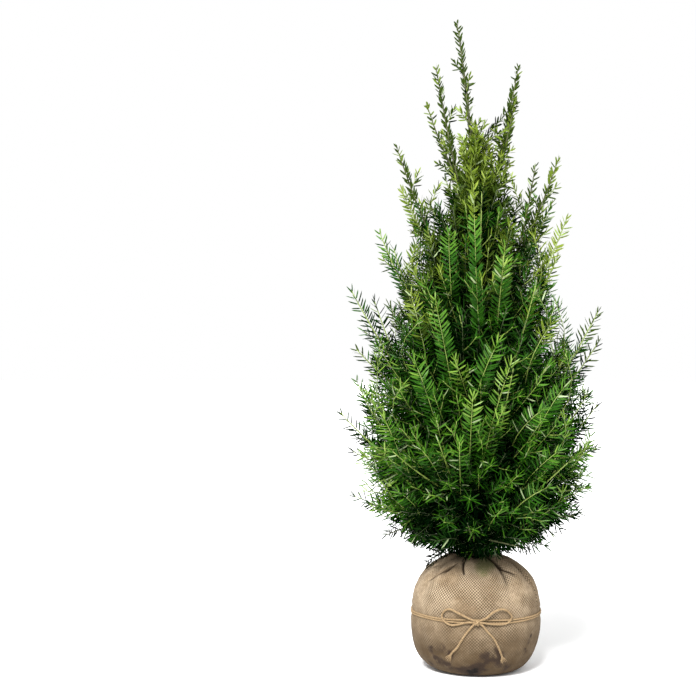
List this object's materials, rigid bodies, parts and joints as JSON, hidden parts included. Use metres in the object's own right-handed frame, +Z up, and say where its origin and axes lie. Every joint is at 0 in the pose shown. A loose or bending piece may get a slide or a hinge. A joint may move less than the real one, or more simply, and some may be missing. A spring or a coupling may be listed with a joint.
{
  "type": "english yew on a wrapped root ball",
  "caption": "Young evergreen shrub with a leading shoot and rising boughs of needles, on a burlap root ball tied round with twine in a bow.",
  "frame": {"origin": "centre of the root ball's flat underside, where the plant stands", "axes": "+Z up along the trunk, -Y towards the side with the bow, +X to the right of it"},
  "size_m": [0.5347, 0.4975, 1.319],
  "materials": {
    "root_ball": "matte",
    "twine": "matte",
    "bark": "matte",
    "needles": "matte"
  },
  "bodies": {
    "root": {"bow_knot": "twine", "bow_loop_left": "twine", "bow_loop_right": "twine", "bow_tail_left": "twine", "bow_tail_right": "twine", "limb_foot_back": "bark", "limb_foot_front": "bark", "limb_foot_left": "bark", "limb_foot_right": "bark", "limb_high_back": "bark", "limb_high_front": "bark", "limb_high_front_right": "bark", "limb_high_left": "bark", "limb_high_right": "bark", "limb_leader_left": "bark", "limb_leader_right": "bark", "limb_lower_back": "bark", "limb_lower_back_left": "bark", "limb_lower_front": "bark", "limb_lower_front_right": "bark", "limb_lower_left": "bark", "limb_lower_right": "bark", "limb_middle_back": "bark", "limb_middle_front": "bark", "limb_middle_left": "bark", "limb_middle_right": "bark", "limb_top_back": "bark", "limb_top_front": "bark", "limb_top_left": "bark", "limb_top_right": "bark", "mass_foot_back": "needles", "mass_foot_front": "needles", "mass_foot_left": "needles", "mass_foot_right": "needles", "mass_high_back": "needles", "mass_high_front": "needles", "mass_high_front_right": "needles", "mass_high_left": "needles", "mass_high_right": "needles", "mass_leader": "needles", "mass_leader_left": "needles", "mass_leader_right": "needles", "mass_lower_back": "needles", "mass_lower_back_left": "needles", "mass_lower_front": "needles", "mass_lower_front_right": "needles", "mass_lower_left": "needles", "mass_lower_right": "needles", "mass_middle_back": "needles", "mass_middle_front": "needles", "mass_middle_left": "needles", "mass_middle_right": "needles", "mass_top_back": "needles", "mass_top_front": "needles", "mass_top_left": "needles", "mass_top_right": "needles", "root_ball": "root_ball", "trunk": "bark", "twine_lower": "twine", "twine_upper": "twine"}
  },
  "joints": []
}
